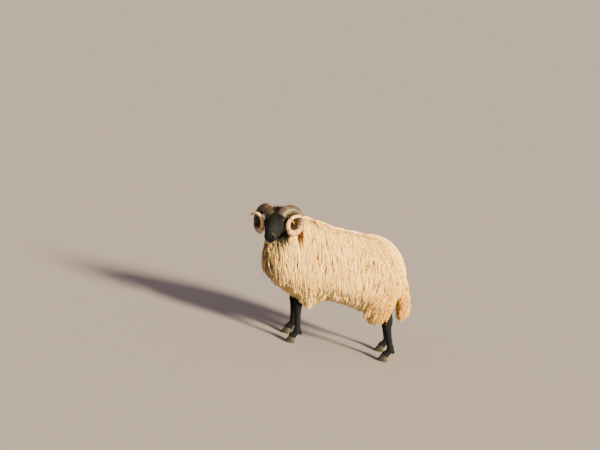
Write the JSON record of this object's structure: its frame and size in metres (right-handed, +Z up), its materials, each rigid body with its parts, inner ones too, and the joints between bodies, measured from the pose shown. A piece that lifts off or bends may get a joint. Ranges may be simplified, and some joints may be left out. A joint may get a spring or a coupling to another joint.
{
  "type": "sheep",
  "caption": "Standing horned ram with a long shaggy fleece, dark face and legs and curled horns, its head turned to its left.",
  "frame": {"origin": "on the floor, under the middle of the ram's outline", "axes": "-X the way the body faces, +X towards the tail, -Y to the ram's left flank, +Z up"},
  "size_m": [1.1652, 0.6302, 0.9143],
  "materials": {
    "wool": "long coarse cream wool in hanging locks, matt",
    "hair": "hide under short black hair, with a slight sheen",
    "horn": "pale ribbed keratin, satin, greyer at the root",
    "hoof": "dark keratin, satin",
    "eye": "wet, amber with a dark level pupil"
  },
  "bodies": {
    "root": {"trunk": "wool", "neck": "wool", "tail": "wool", "thigh_left": "wool", "thigh_right": "wool", "head": "hair", "ear_left": "hair", "ear_right": "hair", "eye_left": "eye", "eye_right": "eye", "horn_left": "horn", "horn_right": "horn", "leg_front_left": "hair", "claw_front_left_inner": "hoof", "claw_front_left_outer": "hoof", "leg_front_right": "hair", "claw_front_right_inner": "hoof", "claw_front_right_outer": "hoof", "leg_hind_left": "hair", "claw_hind_left_inner": "hoof", "claw_hind_left_outer": "hoof", "leg_hind_right": "hair", "claw_hind_right_inner": "hoof", "claw_hind_right_outer": "hoof"}
  },
  "joints": []
}
